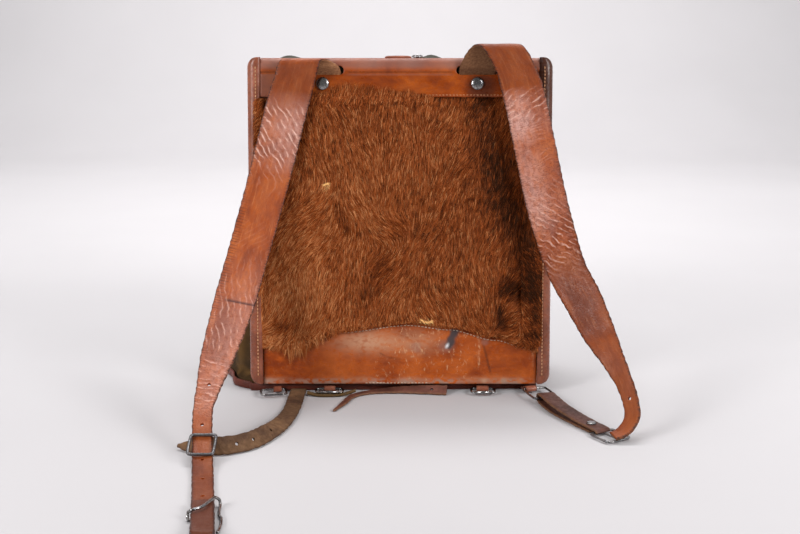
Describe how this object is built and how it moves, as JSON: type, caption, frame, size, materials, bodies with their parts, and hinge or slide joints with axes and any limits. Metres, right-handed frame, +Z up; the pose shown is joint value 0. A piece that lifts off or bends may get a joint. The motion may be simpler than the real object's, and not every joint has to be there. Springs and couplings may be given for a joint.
{
  "type": "rucksack",
  "caption": "Upright canvas rucksack with a brown calf-hair back panel, leather bands and bindings, and wide leather shoulder straps let down onto the ground with steel buckles.",
  "frame": {"origin": "on the ground, at the middle of the panel's width, on the flat bottom of the base", "axes": "+X to the right as seen from the fur side, +Y away from the wearer's side, +Z up; fur faces -Y"},
  "size_m": [0.4623, 0.5302, 0.3891],
  "materials": {
    "fur": "hair side out, soft sheen",
    "band_leather": "smooth, worn",
    "binding_leather": "smooth, polished",
    "strap_leather": "wrinkled grain",
    "dark_leather": "rough, dark",
    "canvas": "woven, matt",
    "lid_canvas": "woven, matt",
    "steel": "dull, slightly tarnished"
  },
  "bodies": {
    "root": {"fur_panel": "fur", "top_band": "band_leather", "bottom_band": "band_leather", "left_binding": "binding_leather", "right_binding": "binding_leather", "lid_tab": "binding_leather", "left_loop_chape": "binding_leather", "left_base_chape": "binding_leather", "right_base_chape": "binding_leather", "right_ring_chape": "binding_leather", "left_shoulder_strap": "strap_leather", "right_shoulder_strap": "strap_leather", "bag_base": "dark_leather", "left_lower_strap": "dark_leather", "base_strap": "dark_leather", "right_lower_strap": "dark_leather", "bag_wall": "canvas", "canvas_tab": "canvas", "lid_flap": "lid_canvas", "left_rivet": "steel", "right_rivet": "steel", "left_strap_buckle": "steel", "left_hook": "steel", "left_wire_loop": "steel", "left_base_buckle": "steel", "right_base_buckle": "steel", "right_ring": "steel", "right_loop_rivet": "steel", "right_strap_buckle": "steel", "lid_loop": "steel"}
  },
  "joints": []
}
